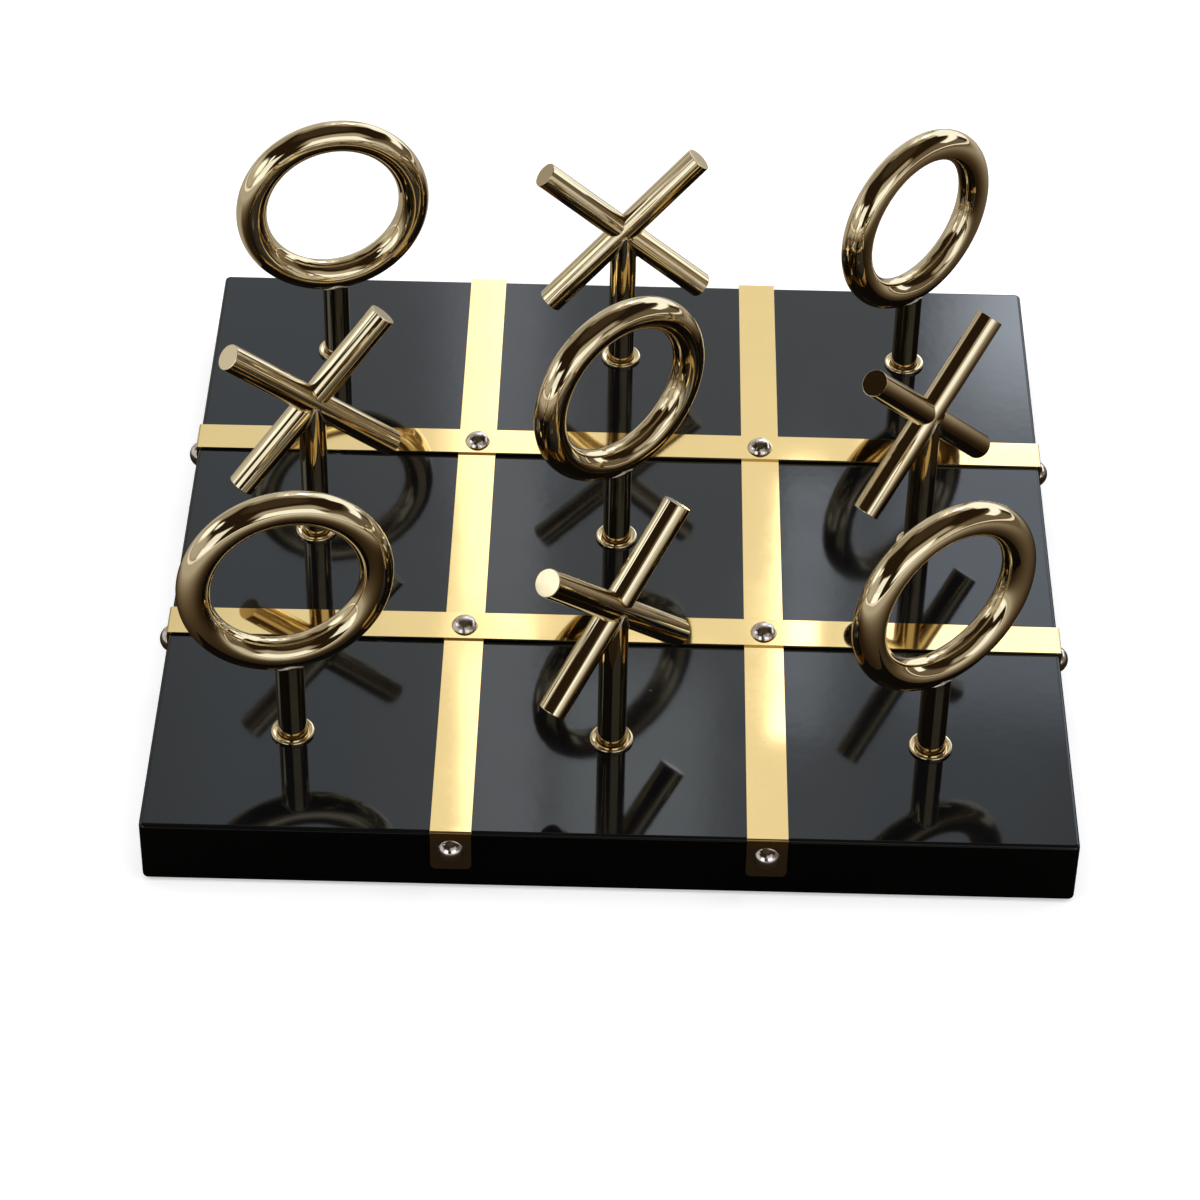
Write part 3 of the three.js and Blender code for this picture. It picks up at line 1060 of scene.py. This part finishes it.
def studio_world():
    """A world that lights evenly, looks white, and shows as a studio's lights in the polish."""
    world = bpy.data.worlds.new("studio")
    world.use_nodes = True
    nodes = Nodes(world.node_tree)
    background = world.node_tree.nodes["Background"]
    axes = nodes.axes(nodes.add("ShaderNodeTexCoord").outputs["Generated"])
    elevation = nodes.math("ARCSINE", axes["Z"])
    bearing = nodes.math("ARCTAN2", axes["X"], axes["Y"])

    def cover(*shape):
        """1 within a soft-edged panel and 0 outside it."""
        towards, half_width, height, half_height, softness = (math.radians(angle) for angle in shape)
        away = nodes.math("ARCCOSINE", nodes.math("COSINE", nodes.math("SUBTRACT", bearing, towards)))
        above = nodes.math("ABSOLUTE", nodes.math("SUBTRACT", elevation, height))
        across = nodes.spread(away, half_width - softness, half_width + softness, 1.0, 0.0, soft=True)
        up = nodes.spread(above, half_height - softness, half_height + softness, 1.0, 0.0, soft=True)
        return nodes.math("MULTIPLY", across, up)

    level = STUDIO_DARK
    for _, *shape, strength in STUDIO_PANELS:
        level = nodes.math("MAXIMUM", level, nodes.math("MULTIPLY", cover(*shape), strength))
    shown = daylight(nodes, level)
    for _, *shape, strength in WINDOW_PANES:
        pane = nodes.mix(cover(*shape), BLACK, rgba(strength))
        shown = nodes.mix(1.0, shown, pane, blend="LIGHTEN")
    rays = nodes.add("ShaderNodeLightPath").outputs
    seen = nodes.mix(rays["Is Glossy Ray"], AMBIENT, shown)
    plain = nodes.math("MAXIMUM", rays["Is Camera Ray"], rays["Is Transmission Ray"])
    nodes.fill(background, {"Color": nodes.mix(plain, seen, WHITE)})
    bpy.context.scene.world = world


def floor_material():
    """A pale floor that looks white and still takes the object's shadow."""
    material, shader, nodes, _ = new_material("pale_floor")
    material.node_tree.nodes.remove(shader)
    rays = nodes.add("ShaderNodeLightPath").outputs
    watched = nodes.math("MAXIMUM", rays["Is Camera Ray"], rays["Is Glossy Ray"])
    watched = nodes.math("MAXIMUM", watched, rays["Is Transmission Ray"])
    strength = nodes.math("MULTIPLY", watched, FLOOR_GLOW)
    glow = nodes.add("ShaderNodeEmission", {"Color": WHITE, "Strength": strength})
    paper = nodes.add("ShaderNodeBsdfDiffuse", {"Color": FLOOR_PAPER})
    both = nodes.add("ShaderNodeAddShader", {0: glow.outputs[0], 1: paper.outputs[0]})
    nodes.fill(material.node_tree.nodes["Material Output"], {"Surface": both.outputs[0]})
    return material


def table_card_material():
    """A glowing table top that only the polished surfaces show, painted dark close to the board as the
    board's shadow, and dark on the right.
    """
    material, shader, nodes, place = new_material("table_card")
    far = nodes.vector_math("LENGTH", place)
    axes = nodes.axes(place)
    to_the_right = nodes.math("SUBTRACT", axes["X"], nodes.math(
        "MULTIPLY", nodes.math("ABSOLUTE", axes["Y"]), 0.8))
    behind = nodes.math("SUBTRACT", axes["Y"], nodes.math("MULTIPLY", axes["X"], 0.5))
    # The glow is painted low close to the board: a painted shadow of the board on the table.
    level = nodes.math("MAXIMUM", nodes.spread(far, *TABLE_SHADOW_FADE, soft=True),
                       nodes.spread(behind, *TABLE_BEHIND, soft=True))
    level = nodes.math("MULTIPLY", level, nodes.spread(to_the_right, *TABLE_TO_THE_RIGHT))
    nodes.fill(shader, {
        "Base Color": BLACK,
        "Specular IOR Level": 0.0,
        "Emission Color": daylight(nodes, level),
        "Emission Strength": 1.0,
    })
    return material


def lamp_card_material(name, middle_point, half_width, half_height):
    """A soft-edged glowing card, clear towards its edges."""
    material, shader, nodes, place = new_material(name)
    material.node_tree.nodes.remove(shader)
    offset = nodes.vector_math("SUBTRACT", place, middle_point)
    out = nodes.vector_math("LENGTH", nodes.vector_math(
        "MULTIPLY", offset, (1.0, 1 / half_width, 1 / half_height)))
    glow = nodes.add("ShaderNodeEmission", {"Color": daylight(nodes, 1.0), "Strength": LAMP_CARD_LEVEL})
    clear = nodes.add("ShaderNodeBsdfTransparent")
    lit = nodes.spread(out, 0.5, 1.0, 1.0, 0.0, soft=True)
    card = nodes.add("ShaderNodeMixShader", {0: lit, 1: clear.outputs[0], 2: glow.outputs[0]})
    nodes.fill(material.node_tree.nodes["Material Output"], {"Surface": card.outputs[0]})
    return material


def show_in_polish_only(obj):
    for ray in ("camera", "diffuse", "transmission", "volume_scatter", "shadow"):
        setattr(obj, f"visible_{ray}", False)


def soft_lamp(name, place):
    """A square soft lamp that doesn't show in the polish."""
    studio = settings().studio
    bpy.ops.object.select_all(action="DESELECT")
    bpy.ops.object.light_add(type="AREA", location=place)
    lamp = bpy.context.object
    lamp.name = name
    lamp.data.shape = "SQUARE"
    lamp.data.size = studio.lamp_side
    lamp.data.energy = studio.lamp_power
    lamp.rotation_euler = (Vector(LAMP_AIM) - Vector(place)).to_track_quat("-Z", "Y").to_euler()
    lamp.visible_glossy = False


class SET_OT_stage(bpy.types.Operator):
    """Make the floor, the soft light and the white surroundings"""
    bl_idname = "tic_tac_toe.stage"
    bl_label = "Stage"

    def execute(self, context):
        plane = bpy.ops.mesh.primitive_plane_add
        floor = new_object(plane, "pale_floor", size=settings().studio.floor_size)
        floor.data.materials.append(floor_material())
        table = new_object(plane, "table_card", size=TABLE_SIDE, location=(0, 0, TABLE_HEIGHT))
        table.data.materials.append(table_card_material())
        show_in_polish_only(table)
        for name, point, half_width, half_height in LAMP_CARDS:
            card = new_object(plane, name, (half_height, half_width, 1), size=2, location=point,
                              rotation=(0, math.pi / 2, 0))
            card.data.materials.append(lamp_card_material(name, point, half_width, half_height))
            show_in_polish_only(card)
        for name, point in SOFT_LAMPS:
            soft_lamp(name, point)
        studio_world()
        context.scene.view_settings.view_transform = "Standard"
        return {"FINISHED"}


class SET_OT_camera(bpy.types.Operator):
    """Set the camera at the photograph's angle"""
    bl_idname = "tic_tac_toe.camera"
    bl_label = "Camera"

    def execute(self, context):
        bpy.ops.object.select_all(action="DESELECT")
        bpy.ops.object.camera_add()
        camera = context.object
        camera.name = "camera"
        camera.data.lens = settings().studio.focal_length
        camera.data.sensor_width = SENSOR_WIDTH
        camera.data.clip_start = NEAR_CLIP
        turn, tip, roll = (math.radians(angle) for angle in CAMERA_ANGLES)
        camera.matrix_world = (Matrix.Translation(CAMERA_POINT) @ Matrix.Rotation(turn, 4, "Z")
                               @ Matrix.Rotation(tip, 4, "X") @ Matrix.Rotation(roll, 4, "Z"))
        context.scene.camera = camera
        return {"FINISHED"}


OPERATORS = [
    SET_OT_camera,
    SET_OT_board,
    SET_OT_felt,
    SET_OT_straps,
    SET_OT_studs,
    SET_OT_sockets,
    SET_OT_posts,
    SET_OT_rings,
    SET_OT_crosses,
    SET_OT_stage,
]


class SET_PT_panel(bpy.types.Panel):
    """Sizes, colours and makers of the set"""
    bl_idname = "SET_PT_panel"
    bl_label = "Tic-tac-toe"
    bl_space_type = "VIEW_3D"
    bl_region_type = "UI"
    bl_category = "Tic-tac-toe"

    def draw(self, context):
        for operator in OPERATORS:
            self.layout.operator(operator.bl_idname)
        for name, group in GROUPS.items():
            box = self.layout.box()
            for prop in group.__annotations__:
                box.prop(getattr(context.scene.tic_tac_toe, name), prop)


CLASSES = [*GROUPS.values(), SetSettings, *OPERATORS, SET_PT_panel]


def register():
    for cls in CLASSES:
        bpy.utils.register_class(cls)
    bpy.types.Scene.tic_tac_toe = PointerProperty(type=SetSettings)


def unregister():
    del bpy.types.Scene.tic_tac_toe
    for cls in reversed(CLASSES):
        bpy.utils.unregister_class(cls)


def main():
    register()
    bpy.ops.tic_tac_toe.camera()
    bpy.ops.tic_tac_toe.board()
    bpy.ops.tic_tac_toe.felt()
    bpy.ops.tic_tac_toe.straps()
    bpy.ops.tic_tac_toe.studs()
    bpy.ops.tic_tac_toe.sockets()
    bpy.ops.tic_tac_toe.posts()
    bpy.ops.tic_tac_toe.rings()
    bpy.ops.tic_tac_toe.crosses()
    bpy.ops.tic_tac_toe.stage()


if __name__ == "__main__":
    main()
